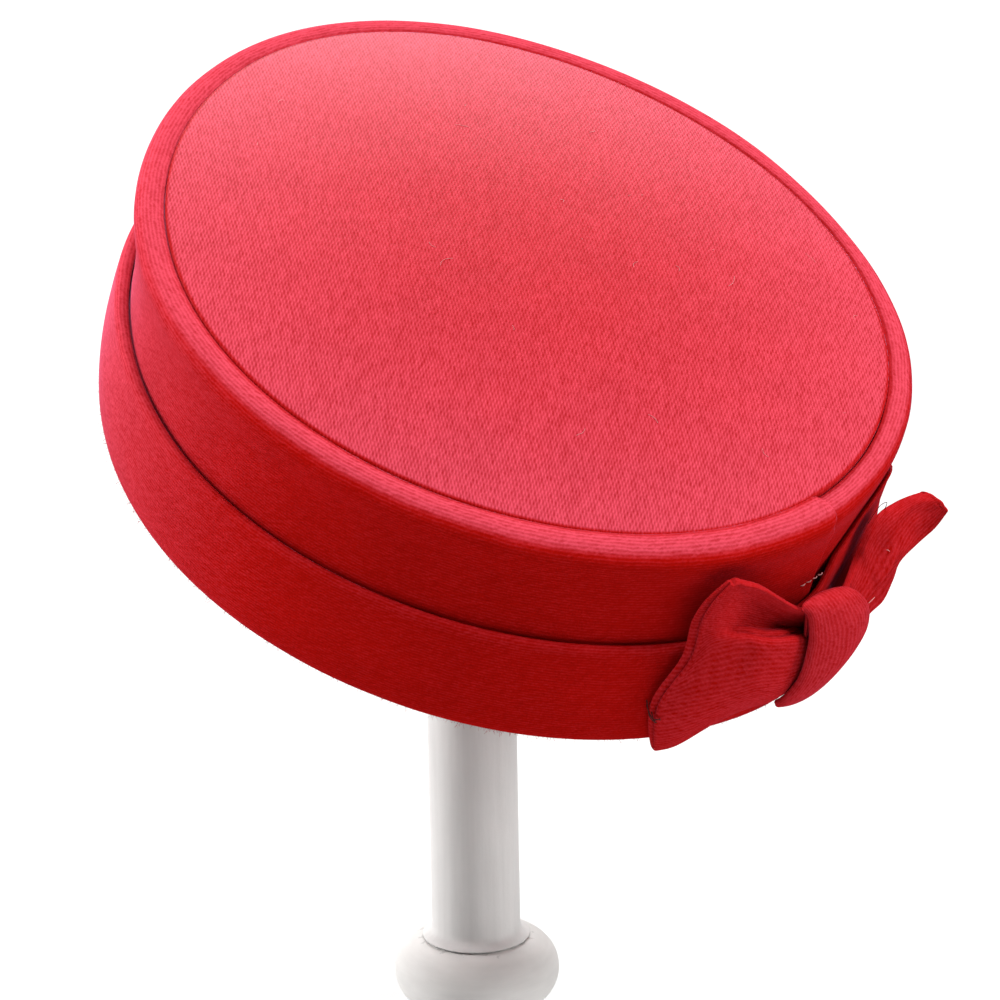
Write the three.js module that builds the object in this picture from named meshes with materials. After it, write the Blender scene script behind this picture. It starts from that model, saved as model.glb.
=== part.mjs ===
// Oval pillbox hat of cotton jersey with a bow at the back, tilted on a plain turned wooden stand.
// Millimetres, +Z up, origin at the centre of the stand's underside; the hat leans towards -Y.

import * as THREE from 'three';

// Clearance kept between neighbouring pieces
const GAP = 0.3;

// Oval of the crown, measured on the seam between tip and side band. The bow sits on its +X end.
const HALF_LENGTH = 92.6;
const HALF_WIDTH = 77.4;
const OUT_OF_ROUND_THREE = 0.0094;
const OUT_OF_ROUND_FOUR = -0.0047;

// Small turn either side of a point of the oval, used to find which way is straight out
const TANGENT_STEP = 1e-4;

// Heights of the crown above its rim
const SEAM_HEIGHT = 58.8;
const SEAM_DIP = 0.8;
const TIP_RISE = 11;
const TIP_ROUNDNESS = 2.2;
const TIP_WALL = 2;
const TIP_SEGMENTS = 72;

// Side band: its two ends lap at the back, the later end on top, and ease apart over a long way
const BAND_LAP_STEP = 1.05;
const BAND_UNDER_END = -14 * THREE.MathUtils.DEG2RAD;
const BAND_OVER_END = -4 * THREE.MathUtils.DEG2RAD;
const BAND_END_SLANT = 0.0014;
const BAND_END_SHARPNESS = 20;
const BAND_EASE = 80 * THREE.MathUtils.DEG2RAD;
const BAND_STATIONS = 76;

// Cuff: the lower band, a folded strip round the rim with a slightly uneven top edge
const CUFF_HEIGHT = 29.6;
const CUFF_DROP = 1.2;
const CUFF_OUT = 9;
const CUFF_TOP_TILT = { x: 0.016, y: 0.036 };
const CUFF_RIM_TILT = { x: 0.018, y: 0.019 };
const CUFF_PULL = { height: 5, angle: 0.3, spread: 0.45 };
const CUFF_TIGHT = { depth: 1.6, angle: 0.6, spread: 0.7 };
const CUFF_STATIONS = 76;

// Bow at the back of the cuff
const BOW_ARC = -4;
const WING_HALF_GAP = 0.5;
const WING_EDGE_ROUND = 0.8;
const WING_TOP_CORNER = 6;
const WING_LOW_CORNER = 8;

// Stand, from the bench up
const BASE_RADIUS = 72;
const BASE_THICKNESS = 12;
const BASE_EDGE_ROUND = 1.5;
const BASE_CHAMFER = { across: 3, down: 4 };
const STEM_RADIUS = 13;
const COLLAR_HEIGHT = 95;
const COLLAR_RADIUS = 20.9;
const COLLAR_TUBE = 9;
const COLLAR_STEPS = 10;
const POST_RADIUS = 11.2;
const POST_FOOT_RADIUS = 13.6;
const POST_FOOT_HEIGHT = 5;
const POST_FOOT_HOLLOW = 1.4;
const POST_FOOT_EDGE = { across: 0.6, up: 0.8 };
const HEAD_RADIUS = 45;
const HEAD_CENTRE_HEIGHT = 261.7;
const HEAD_DEPTH = 24;
const HEAD_EDGE = 2;
const HEAD_EDGE_SHARE = 0.97;
const HEAD_STEPS = 9;
const STAND_SEGMENTS = 40;

// Flare of the stem into the base: beyond the stem's radius, and above the base's top
const STEM_FLARE = [
  { beyond: 16, above: 3 },
  { beyond: 5, above: 10 },
  { beyond: 0, above: 24 },
];

// How the hat sits: it bears on the stand's head a little off its centre and leans towards the front right
const SEAT = { x: -17.1, y: 6.9 };
const LEAN_HEADING = -68.6 * THREE.MathUtils.DEG2RAD;
const LEAN = 29 * THREE.MathUtils.DEG2RAD;
const BOW_HEADING = 29.7 * THREE.MathUtils.DEG2RAD;

// Section of the side band: out from the seam line, up from the rim, and how far a lapped end moves it out.
// The outer face comes first, over the rolled edge to the seam, then the inner face back down.
const BAND_SECTION = [
  { out: 6.1, up: 0.6, move: 1 },
  { out: 5.3, up: 16, move: 1 },
  { out: 4.6, up: 32, move: 1 },
  { out: 5.3, up: 45, move: 1 },
  { out: 6.4, up: 51, move: 1 },
  { out: 6.9, up: 54.4, move: 1 },
  { out: 6.3, up: 56, move: 1 },
  { out: 5.2, up: 57.2, move: 0.9 },
  { out: 3.6, up: 58.1, move: 0.6 },
  { out: 1.6, up: 58.6, move: 0.2 },
  { out: 0.15, up: 57.8, move: 0 },
  { out: 0.15, up: 56.6, move: 0 },
  { out: 2.8, up: 56.7, move: 0.6 },
  { out: 4.3, up: 55.6, move: 0.9 },
  { out: 5.2, up: 54, move: 1 },
  { out: 3.5, up: 45, move: 1 },
  { out: 2.8, up: 32, move: 1 },
  { out: 3.5, up: 16, move: 1 },
  { out: 4.3, up: 0.6, move: 1 },
];

// Section of the cuff: share of its height, out from the seam line, how far it makes room for the lap of the
// side band, and how far it is drawn in where it is pulled tight beside the bow
const CUFF_SECTION = [
  { share: 0, out: 8.2, room: 0.4, drawn: 0.4 },
  { share: 0.05, out: 9, room: 0.4, drawn: 0.7 },
  { share: 0.2, out: 9.5, room: 0.4, drawn: 0.9 },
  { share: 0.42, out: 9.4, room: 0.4, drawn: 1 },
  { share: 0.65, out: 8.6, room: 0.5, drawn: 1 },
  { share: 0.86, out: 7.7, room: 0.6, drawn: 0.9 },
  { share: 0.97, out: 7.2, room: 0.7, drawn: 0.8 },
  { share: 1, out: 6.3, room: 0.8, drawn: 0.4 },
  { share: 0.97, out: 5.5, room: 1, drawn: 0 },
  { share: 0.8, out: 5.3, room: 1, drawn: 0 },
  { share: 0.5, out: 5.8, room: 1, drawn: 0 },
  { share: 0.2, out: 6.3, room: 1, drawn: 0 },
  { share: 0.02, out: 6.6, room: 1, drawn: 0 },
];

// Rings of the tip's upper face, as shares of the oval from the middle out. The lower face runs back through
// fewer of them.
const TIP_UPPER_RINGS = [0.1, 0.3, 0.5, 0.68, 0.82, 0.92, 0.98];
const TIP_LOWER_RINGS = [0.97, 0.8, 0.55, 0.3, 0.1];

// Wings of the bow, a row for each section from the knot to the end. reach is along the hat from the bow's
// middle; low and high are heights; backLow and backHigh are the stand-off of the back at those edges; thick
// is the folded cloth; lobe is the swell of the lower fold and hollow the depth of the pleat above it; crease
// is the share of the height where the pleat starts; slant and corner cut the top edge and both corners back.
const WING_COLUMNS = [
  'reach', 'low', 'high', 'backLow', 'backHigh', 'thick', 'lobe', 'hollow', 'crease', 'slant', 'corner',
];
const LEFT_WING = [
  [0, 8.8, 32.2, 12, 12, 2.3, 0, 0.6, 0.84, 0, 0],
  [10, 8.8, 32.2, 12, 12, 2.3, 0, 1.2, 0.84, 0, 0],
  [13, 8.5, 37.5, 10.6, 9.4, 4.6, 0.8, 3.4, 0.76, 1, 0],
  [20, 8, 42.5, 10.4, 8.9, 4.8, 1, 3.9, 0.71, 3, 0],
  [27, 6.5, 46.5, 10.3, 8.8, 4.2, 0.8, 2.8, 0.74, 5, 0.5],
  [34, 3.5, 50, 10.3, 8.8, 3.4, 0.4, 1, 0.81, 7, 1.5],
  [44, -1, 52.5, 10.3, 8.9, 2.6, 0, 0, 0.84, 10, 4],
];
const RIGHT_WING = [
  [0, 8.8, 32.2, 12, 12, 2.3, 0, 0.6, 0.5, 0, 0],
  [10, 8.8, 32.2, 12, 12, 2.3, 0, 1.2, 0.5, 0, 0],
  [13, 9, 37.5, 10.6, 9.8, 4.2, 0.4, 3, 0.5, 1, 0],
  [20, 9, 43.5, 10.5, 11, 4.0, 0.4, 2.8, 0.5, 2, 0],
  [27, 7, 46.5, 10.8, 13, 3.6, 0.4, 1.8, 0.48, 3, 0.5],
  [33, 4, 47, 11.2, 15.5, 3.0, 0.2, 0.6, 0.47, 4, 1.5],
  [38, 1, 45, 11.6, 17.5, 2.6, 0, 0, 0.47, 5, 3],
];
const WING_STATIONS = 13;

// Where the wing's face is sampled, as shares of the stretch below the crease and of the stretch above it
const WING_BELOW_CREASE = [0, 0.1, 0.3, 0.55, 0.8, 1];
const WING_ABOVE_CREASE = [0.12, 0.3, 0.55, 0.8, 1];
const WING_BACK_SHARES = [1, 0.8, 0.5, 0.2, 0];

// Path of the knot's band round the wings, seen along the hat: height, stand-off, half width and thickness
const KNOT_PATH = [
  { up: 8, out: 11.1, half: 7, thick: 1.2 },
  { up: 21, out: 11.1, half: 7.5, thick: 1.2 },
  { up: 33.6, out: 11.1, half: 9, thick: 1.2 },
  { up: 35.6, out: 11.8, half: 9.6, thick: 1.6 },
  { up: 35.8, out: 13.2, half: 9.8, thick: 2 },
  { up: 34.4, out: 15.4, half: 9.6, thick: 2 },
  { up: 28, out: 16, half: 9.2, thick: 2 },
  { up: 21, out: 16.2, half: 8.8, thick: 2 },
  { up: 13.5, out: 16, half: 8.8, thick: 2 },
  { up: 6.4, out: 15.3, half: 9.2, thick: 2 },
  { up: 5.2, out: 13.2, half: 9.2, thick: 2 },
  { up: 5.6, out: 11.8, half: 8.2, thick: 1.4 },
];
const KNOT_MIDDLE = { up: 21, out: 13.5 };
const KNOT_CROWN = 0.4;
const KNOT_EDGE = { across: 0.8, depth: 0.4 };

function cloth(colour) {
  return new THREE.MeshStandardMaterial({ color: colour, roughness: 0.9, metalness: 0 });
}

function paintedWood(colour) {
  return new THREE.MeshStandardMaterial({ color: colour, roughness: 0.55, metalness: 0 });
}

function named(name, geometry, material) {
  const mesh = new THREE.Mesh(geometry, material);
  mesh.name = name;
  return mesh;
}

// A smooth hump, 1 at the middle and 0 at the given distance and beyond
function hump(distance, spread) {
  const share = Math.min(Math.abs(distance) / spread, 1);
  return 0.5 + 0.5 * Math.cos(Math.PI * share);
}

// A point of the crown's oval at an angle from the back, moved straight out by an offset
function outline(angle, offset) {
  const point = (t) => {
    const wobble = 1 + OUT_OF_ROUND_THREE * Math.sin(3 * t) + OUT_OF_ROUND_FOUR * Math.sin(4 * t);
    return new THREE.Vector2(HALF_LENGTH * Math.cos(t), HALF_WIDTH * Math.sin(t)).multiplyScalar(wobble);
  };
  const along = point(angle + TANGENT_STEP).sub(point(angle - TANGENT_STEP)).normalize();
  return point(angle).add(new THREE.Vector2(along.y, -along.x).multiplyScalar(offset));
}

function onCrown(angle, offset, height) {
  const p = outline(angle, offset);
  return new THREE.Vector3(p.x, p.y, height);
}

// Angle on the oval for a distance along the cuff's face from the middle of the back
function backAngle(arc) {
  return arc / (HALF_WIDTH + CUFF_OUT * HALF_LENGTH / HALF_WIDTH);
}

// A skin over closed loops that have the same number of points: joined into a ring, or capped at both ends
function loft(loops, ring) {
  const count = loops[0].length;
  const positions = loops.flat().flatMap((p) => [p.x, p.y, p.z]);
  const triangles = [];
  const spans = ring ? loops.length : loops.length - 1;
  for (let i = 0; i < spans; i += 1) {
    const here = i * count;
    const next = ((i + 1) % loops.length) * count;
    for (let j = 0; j < count; j += 1) {
      const k = (j + 1) % count;
      triangles.push(here + j, next + j, here + k, next + j, next + k, here + k);
    }
  }
  if (!ring) {
    for (const [first, outward] of [[0, true], [(loops.length - 1) * count, false]]) {
      const loop = loops[first / count];
      const corners = capTriangles(loop);
      for (const [a, b, c] of corners) {
        triangles.push(...(outward ? [first + a, first + b, first + c] : [first + a, first + c, first + b]));
      }
    }
  }
  const geometry = new THREE.BufferGeometry();
  geometry.setAttribute('position', new THREE.Float32BufferAttribute(positions, 3));
  geometry.setIndex(triangles);
  geometry.computeVertexNormals();
  return geometry;
}

// Triangles across a closed loop, found in the loop's own plane and turned the way the loop runs
function capTriangles(loop) {
  const normal = new THREE.Vector3();
  loop.forEach((p, i) => normal.add(new THREE.Vector3().crossVectors(p, loop[(i + 1) % loop.length])));
  normal.normalize();
  const right = new THREE.Vector3().subVectors(loop[1], loop[0]).normalize();
  right.addScaledVector(normal, -right.dot(normal)).normalize();
  const up = new THREE.Vector3().crossVectors(normal, right);
  const flat = loop.map((p) => new THREE.Vector2(p.dot(right), p.dot(up)));
  return THREE.ShapeUtils.triangulateShape(flat, []);
}

// Height of the tip's upper face at a share of the way from its middle to the seam
function tipHeight(share) {
  return SEAM_HEIGHT + TIP_RISE * (1 - share ** TIP_ROUNDNESS);
}

function tipUnderside(share) {
  return tipHeight(share) - TIP_WALL;
}

function makeTip() {
  const ring = (share, height) => Array.from({ length: TIP_SEGMENTS }, (_, i) => {
    const p = outline(2 * Math.PI * i / TIP_SEGMENTS, -GAP / 2);
    return new THREE.Vector3(p.x * share, p.y * share, height);
  });
  const edge = SEAM_HEIGHT - SEAM_DIP;
  const loops = [
    ...TIP_UPPER_RINGS.map((share) => ring(share, tipHeight(share))),
    ring(1, edge),
    ring(1, edge - TIP_WALL),
    ...TIP_LOWER_RINGS.map((share) => ring(share, tipUnderside(share))),
  ];
  return loft(loops, false);
}

// How far the side band has eased towards its lap: -1 at the end underneath, 1 at the end on top
function lapAt(angle) {
  const under = hump(angle - BAND_UNDER_END, BAND_EASE);
  const over = hump(BAND_OVER_END + 2 * Math.PI - angle, BAND_EASE);
  return over - under;
}

function makeSideBand() {
  const sweep = BAND_OVER_END + 2 * Math.PI - BAND_UNDER_END;
  const loops = [];
  for (let i = 0; i <= BAND_STATIONS; i += 1) {
    const share = i / BAND_STATIONS;
    const angle = BAND_UNDER_END + sweep * share;
    const step = BAND_LAP_STEP * lapAt(angle);
    loops.push(BAND_SECTION.map(({ out, up, move }) => {
      const slant = BAND_END_SLANT * (up - SEAM_HEIGHT) * share ** BAND_END_SHARPNESS;
      return onCrown(angle + slant, out + step * move, up + (up > CUFF_HEIGHT ? step : 0));
    }));
  }
  return loft(loops, false);
}

// The cuff makes room for the lapped ends of the side band, and its top is pulled up beside the bow
function makeCuff() {
  const loops = [];
  for (let i = 0; i < CUFF_STATIONS; i += 1) {
    const angle = 2 * Math.PI * i / CUFF_STATIONS - Math.PI;
    const lapSide = angle < BAND_OVER_END ? BAND_EASE : BAND_EASE / 2;
    const lap = BAND_LAP_STEP * hump(angle - BAND_OVER_END, lapSide);
    const pull = CUFF_PULL.height * hump(angle - CUFF_PULL.angle, CUFF_PULL.spread);
    const middle = outline(angle, CUFF_OUT);
    const tight = CUFF_TIGHT.depth * hump(angle - CUFF_TIGHT.angle, CUFF_TIGHT.spread);
    const rim = CUFF_RIM_TILT.x * middle.x + CUFF_RIM_TILT.y * middle.y - CUFF_DROP;
    const top = CUFF_HEIGHT + CUFF_TOP_TILT.x * middle.x + CUFF_TOP_TILT.y * middle.y + pull;
    loops.push(CUFF_SECTION.map(({ share, out, room, drawn }) => (
      onCrown(angle, out + lap * room - tight * drawn, rim + (top - rim) * share)
    )));
  }
  return loft(loops, true);
}

// Smooth steps through a table: one object of column values for each station, the first column evenly spaced
function stations(columns, rows, count) {
  const width = columns.length;
  const table = new THREE.CubicInterpolant(rows.map((row) => row[0]), rows.flat(), width);
  const first = rows[0][0];
  const last = rows.at(-1)[0];
  return Array.from({ length: count + 1 }, (_, i) => {
    const values = table.evaluate(first + (last - first) * i / count);
    return Object.fromEntries(columns.map((name, k) => [name, values[k]]));
  });
}

// Depth of the pleat at a share of the stretch above the crease: steep at first, then easing to nothing
function pleatDepth(share) {
  return Math.min(share / WING_ABOVE_CREASE[0], 1) * (1 - share);
}

function makeWing(rows, side) {
  const loops = stations(WING_COLUMNS, rows, WING_STATIONS).map((row) => {
    const place = (share, out, rise = 0) => {
      const corners = share ** WING_TOP_CORNER + (1 - share) ** WING_LOW_CORNER;
      const cut = row.slant * share + row.corner * corners;
      const height = THREE.MathUtils.lerp(row.low, row.high, share) + rise;
      return onCrown(backAngle(BOW_ARC + side * (WING_HALF_GAP + row.reach - cut)), out, height);
    };
    const back = (share) => THREE.MathUtils.lerp(row.backLow, row.backHigh, share);
    const lower = WING_BELOW_CREASE.map((part) => {
      const share = part * row.crease;
      return place(share, back(share) + row.thick + row.lobe * Math.sin(Math.PI * part));
    });
    const upper = WING_ABOVE_CREASE.map((part) => {
      const share = THREE.MathUtils.lerp(row.crease, 1, part);
      return place(share, back(share) + row.thick - row.hollow * pleatDepth(part));
    });
    return [
      place(0, back(0) + row.thick / 2, -WING_EDGE_ROUND),
      ...lower,
      ...upper,
      place(1, back(1) + row.thick / 2, WING_EDGE_ROUND),
      ...WING_BACK_SHARES.map((share) => place(share, back(share))),
    ];
  });
  return loft(side < 0 ? loops.reverse() : loops, false);
}

// The knot is a flat band wound once round the wings, its face a little crowned
function makeKnot() {
  const middle = new THREE.Vector2(KNOT_MIDDLE.up, KNOT_MIDDLE.out);
  const loops = KNOT_PATH.map(({ up, out, half, thick }, i) => {
    const before = KNOT_PATH.at(i - 1);
    const after = KNOT_PATH[(i + 1) % KNOT_PATH.length];
    const normal = new THREE.Vector2(after.out - before.out, before.up - after.up).normalize();
    if (normal.dot(new THREE.Vector2(up, out).sub(middle)) < 0) normal.negate();
    const place = (across, depth) => onCrown(
      backAngle(BOW_ARC + across * half),
      out + normal.y * depth,
      up + normal.x * depth,
    );
    const inner = -thick / 2;
    const outer = thick / 2;
    const edge = outer * KNOT_EDGE.depth;
    return [
      place(-1, inner), place(-1, edge), place(-KNOT_EDGE.across, outer), place(0, outer + KNOT_CROWN),
      place(KNOT_EDGE.across, outer), place(1, edge), place(1, inner), place(0, inner),
    ];
  });
  return loft(loops, true);
}

// A turned piece from its half profile, given as radius and height pairs
function turned(profile) {
  const points = profile.map(([radius, height]) => new THREE.Vector2(radius, height));
  return new THREE.LatheGeometry(points, STAND_SEGMENTS).rotateX(Math.PI / 2);
}

function makeBase() {
  const top = COLLAR_HEIGHT - COLLAR_TUBE - GAP;
  return turned([
    [0, 0],
    [BASE_RADIUS - BASE_EDGE_ROUND, 0],
    [BASE_RADIUS, BASE_EDGE_ROUND],
    [BASE_RADIUS, BASE_THICKNESS - BASE_CHAMFER.down],
    [BASE_RADIUS - BASE_CHAMFER.across, BASE_THICKNESS],
    ...STEM_FLARE.map(({ beyond, above }) => [STEM_RADIUS + beyond, BASE_THICKNESS + above]),
    [STEM_RADIUS, top],
    [0, top],
  ]);
}

function makeCollar() {
  const ring = COLLAR_RADIUS - COLLAR_TUBE;
  const profile = [[0, COLLAR_HEIGHT - COLLAR_TUBE]];
  for (let i = 0; i <= COLLAR_STEPS; i += 1) {
    const turn = -Math.PI / 2 + Math.PI * i / COLLAR_STEPS;
    profile.push([ring + COLLAR_TUBE * Math.cos(turn), COLLAR_HEIGHT + COLLAR_TUBE * Math.sin(turn)]);
  }
  profile.push([0, COLLAR_HEIGHT + COLLAR_TUBE]);
  return turned(profile);
}

function makePost() {
  const foot = COLLAR_HEIGHT + COLLAR_TUBE + GAP;
  const top = HEAD_CENTRE_HEIGHT + HEAD_RADIUS - HEAD_DEPTH - GAP;
  return turned([
    [0, foot],
    [POST_FOOT_RADIUS - POST_FOOT_EDGE.across, foot],
    [POST_FOOT_RADIUS, foot + POST_FOOT_EDGE.up],
    [POST_FOOT_RADIUS - POST_FOOT_HOLLOW, foot + POST_FOOT_HEIGHT / 2],
    [POST_RADIUS, foot + POST_FOOT_HEIGHT],
    [POST_RADIUS, top],
    [0, top],
  ]);
}

function makeHead() {
  const under = HEAD_CENTRE_HEIGHT + HEAD_RADIUS - HEAD_DEPTH;
  const rim = Math.acos((HEAD_RADIUS - HEAD_DEPTH) / HEAD_RADIUS);
  const profile = [[0, under], [HEAD_RADIUS * Math.sin(rim) - HEAD_EDGE, under]];
  for (let i = 0; i <= HEAD_STEPS; i += 1) {
    const turn = rim * HEAD_EDGE_SHARE * (1 - i / HEAD_STEPS);
    profile.push([HEAD_RADIUS * Math.sin(turn), HEAD_CENTRE_HEIGHT + HEAD_RADIUS * Math.cos(turn)]);
  }
  return turned(profile);
}

function makeStand() {
  const stand = new THREE.Group();
  stand.add(
    named('stand_base', makeBase(), paintedWood(0xdcdad6)),
    named('stand_collar', makeCollar(), paintedWood(0xc9c7c4)),
    named('stand_post', makePost(), paintedWood(0xe9e7e4)),
    named('stand_head', makeHead(), paintedWood(0xe3e1dd)),
  );
  return stand;
}

function makeHat() {
  const hat = new THREE.Group();
  hat.add(
    named('crown_tip', makeTip(), cloth(0xd93a4a)),
    named('side_band', makeSideBand(), cloth(0xc4202c)),
    named('lower_band', makeCuff(), cloth(0xc01a24)),
    named('bow_left_wing', makeWing(LEFT_WING, -1), cloth(0xc4202c)),
    named('bow_right_wing', makeWing(RIGHT_WING, 1), cloth(0xc4202c)),
    named('bow_knot', makeKnot(), cloth(0xcc2834)),
  );
  return hat;
}

// The hat's group turns about the middle of the stand's head, so the lean keeps the tip on the head
function placeHat(hat) {
  const share = Math.hypot(SEAT.x / HALF_LENGTH, SEAT.y / HALF_WIDTH);
  hat.position.set(-SEAT.x, -SEAT.y, HEAD_RADIUS + 2 * GAP - tipUnderside(share));
  const facing = new THREE.Group();
  facing.rotation.z = BOW_HEADING;
  facing.add(hat);
  const leaning = new THREE.Group();
  leaning.rotation.y = LEAN;
  leaning.add(facing);
  const turning = new THREE.Group();
  turning.position.z = HEAD_CENTRE_HEIGHT;
  turning.rotation.z = LEAN_HEADING;
  turning.add(leaning);
  return turning;
}

const object = new THREE.Group();
object.add(makeStand(), placeHat(makeHat()));

export default object;
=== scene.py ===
"""Looks of an oval jersey pillbox hat with a flat bow, leaning on a turned and painted wooden stand."""

import bisect
import math
import random

import bmesh
import bpy
from mathutils import Matrix, Vector, noise


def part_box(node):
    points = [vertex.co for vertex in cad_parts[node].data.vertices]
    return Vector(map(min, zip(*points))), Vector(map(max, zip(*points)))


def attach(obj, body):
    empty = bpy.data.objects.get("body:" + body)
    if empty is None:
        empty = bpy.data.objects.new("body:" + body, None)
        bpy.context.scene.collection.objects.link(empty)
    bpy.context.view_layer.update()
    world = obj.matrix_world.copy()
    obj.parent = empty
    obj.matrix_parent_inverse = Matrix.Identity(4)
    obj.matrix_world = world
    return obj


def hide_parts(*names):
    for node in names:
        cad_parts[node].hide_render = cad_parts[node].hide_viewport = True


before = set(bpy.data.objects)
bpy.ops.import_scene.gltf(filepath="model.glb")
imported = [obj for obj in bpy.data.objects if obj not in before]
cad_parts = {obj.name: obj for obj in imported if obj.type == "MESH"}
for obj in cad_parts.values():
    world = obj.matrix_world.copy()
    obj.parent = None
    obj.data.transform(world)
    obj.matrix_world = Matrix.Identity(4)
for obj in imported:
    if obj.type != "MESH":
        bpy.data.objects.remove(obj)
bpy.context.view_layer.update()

bl_info = {
    "name": "Jersey Pillbox Hat",
    "version": (1, 0, 0),
    "blender": (4, 5, 0),
    "location": "View3D > Sidebar > Hat",
    "description": "Builds a jersey pillbox hat with a bow, on a turned stand",
    "category": "Add Mesh",
}

# Tables, and sizes compared with their rows, are in millimetres. Other lengths are in metres.
MM = 0.001
WELD = 1e-6

# Oval of the crown on its seam, with the bow at angle 0
OUT_OF_ROUND_THREE = 0.0094
OUT_OF_ROUND_FOUR = -0.0047
TANGENT_STEP = 1e-4

# How the hat sits on the stand's head
HEAD_RADIUS = 0.045
SEAT_GAP = 0.0006
SEAT_X = -0.0171
SEAT_Y = 0.0069
LEAN_HEADING = math.radians(-68.6)
LEAN = math.radians(29.0)
BOW_HEADING = math.radians(29.7)

# Jersey: how much each part of the knit stands up, and how it takes the light
KNIT_RIB = 0.4
KNIT_LOOP = 0.45
KNIT_STITCH = 0.65
KNIT_FIBRE = 2.2
KNIT_FIBRE_UNDER_ROWS = 0.6
KNIT_DRIFT = 0.9
KNIT_DRIFT_SCALE = 160.0
KNIT_FIBRE_SCALE = 1500.0
KNIT_SHADE = 0.4
KNIT_LIFT = 0.35
KNIT_BUMP = 0.5
KNIT_DEPTH = 0.0002
JERSEY_MOTTLE = 0.16
JERSEY_MOTTLE_SCALE = 70.0
JERSEY_ROUGHNESS = 0.48
JERSEY_GLOSS_TINT = (0.9, 0.55, 1.0, 1.0)
JERSEY_FUZZ_TINT = (0.7, 0.55, 1.0, 1.0)
JERSEY_FUZZ_ROUGHNESS = 0.25

# Tip
TIP_ROUNDNESS = 2.2
TIP_WALL = 0.002
TIP_SEAM_GAP = 0.00006
TIP_SEAM_DIP = 0.00012
TIP_SEAM_START = 0.99
TIP_SEAM_TURN = 0.9965
TIP_EDGE = 0.999
TIP_TUCK = 0.0026
TIP_RINGS = 46
TIP_STEPS = 240
TIP_WALE_ANGLE = math.radians(107.0)
TIP_UNEVEN = 0.00012
# Painted sheen on the tip, from its middle to its edge: paler towards the edge, where the light grazes it
TIP_PAINTED_SHEEN = (0.32, 0.78)
TIP_CONTRAST = 0.4
TIP_ROWS_SHOWN = 1.0
TIP_GLOSS = 0.06
TIP_FUZZ = 0.45

# Side band, a strip whose later end laps over its first
BAND_LAP_STEP = 0.00105
BAND_UNDER_END = math.radians(-14.0)
BAND_OVER_END = math.radians(-2.4)
BAND_EASE = math.radians(80.0)
BAND_END_SLANT = 0.3
BAND_END_SHARPNESS = 20
BAND_END_ROUND = 0.0011
BAND_NOSE = 0.0042
BAND_NOSE_CENTRE = (3.4, 55.4)
BAND_NOSE_LOW = 50.5
BAND_NOSE_BLEND = 3.0
BAND_NOSE_COLUMNS = 0.03
BAND_NOSE_REACH = 1.2
BAND_COLUMNS = 500
BAND_ROWS = 80
BAND_UNEVEN = 0.00018
BAND_DRAWN = {"depth": 0.0013, "angle": math.radians(66), "spread": math.radians(30)}
BAND_CONTRAST = 0.34
BAND_ROWS_SHOWN = 0.1
BAND_GLOSS = 0.0
BAND_FUZZ = 0.12
# Painted sheen: the roll's top is paler above a height, and the left side is paler where the light from the
# left grazes it; it fades out near the seam, which paints shade there
BAND_PAINTED_SHEEN = 0.85
BAND_SHEEN_LOW = 57.1
BAND_SHEEN_FADE = 0.8
BAND_SEAM_SHADE = 0.1
BAND_LEFT_SHEEN = {"depth": 0.85, "angle": math.radians(-165), "spread": math.radians(85)}
BAND_FACE_ROWS = 7
BAND_SECTION = [
    # out, up, move with the lap, outer face
    (6.1, 0.6, 1, 1),
    (5.3, 16, 1, 1),
    (4.6, 32, 1, 1),
    (5.2, 45, 1, 1),
    (6.2, 51, 1, 1),
    (6.75, 53.9, 1, 1),
    (6.75, 55.8, 1, 1),
    (6.1, 57.2, 0.9, 1),
    (4.4, 58.35, 0.6, 0.8),
    (2.0, 58.7, 0.2, 0.5),
    (0.5, 58.55, 0, 0.2),
    (0.06, 58, 0, 0),
    (0.1, 56.2, 0, 0),
    (2.8, 56.4, 0.6, 0),
    (4.3, 55.4, 0.9, 0),
    (5.0, 53.8, 1, 0),
    (3.5, 45, 1, 0),
    (2.8, 32, 1, 0),
    (3.5, 16, 1, 0),
    (4.3, 0.6, 1, 0),
]

# Cuff, the lower band
CUFF_DROP = 0.0012
CUFF_OUT = 0.009
CUFF_TOP_TILT = (0.016, 0.036)
CUFF_RIM_TILT = (0.018, 0.019)
CUFF_PULL = {"depth": 0.017, "angle": math.radians(14), "spread": math.radians(21)}
CUFF_FLARE = {"depth": 0.0014, "angle": math.radians(-150), "spread": math.radians(45)}
CUFF_TIGHT = {"depth": 0.0026, "angle": math.radians(22), "spread": math.radians(36)}
CUFF_FOLD = {"depth": 0.0009, "angle": math.radians(9), "spread": math.radians(14)}
CUFF_LAP_EASE = math.radians(5)
CUFF_EASE = 0.00015
CUFF_WALL = 0.0012
CUFF_WALL_FADE = 0.5
# Painted sheen along the cuff's top fold, and on its left side where the light from the left grazes it
CUFF_EDGE_SHEEN = 0.1
CUFF_EDGE_SHEEN_WIDTH = 0.1
CUFF_LEFT_SHEEN = {"depth": 1.0, "angle": math.radians(-165), "spread": math.radians(85)}
CUFF_FOLD_SHARE = 0.66
CUFF_FOLD_WIDTH = 0.16
CUFF_COLUMNS = 480
CUFF_ROWS = 64
CUFF_UNEVEN = 0.00022
CUFF_SECTION = [
    # out, share of the height in hundredths, room for the lap, drawn in beside the bow
    (8.2, 0, 0.4, 0.4),
    (9.0, 5, 0.4, 0.7),
    (9.5, 20, 0.4, 0.9),
    (9.4, 42, 0.4, 1),
    (8.6, 65, 0.5, 1),
    (7.8, 86, 0.6, 0.9),
    (7.5, 95, 0.7, 0.8),
    (7.0, 99, 0.8, 0.6),
    (6.1, 100, 0.8, 0.4),
    (5.0, 97, 1, 0),
    (5.0, 80, 1, 0),
    (5.8, 50, 1, 0),
    (6.3, 20, 1, 0),
    (6.7, 2, 1, 0),
]

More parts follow.
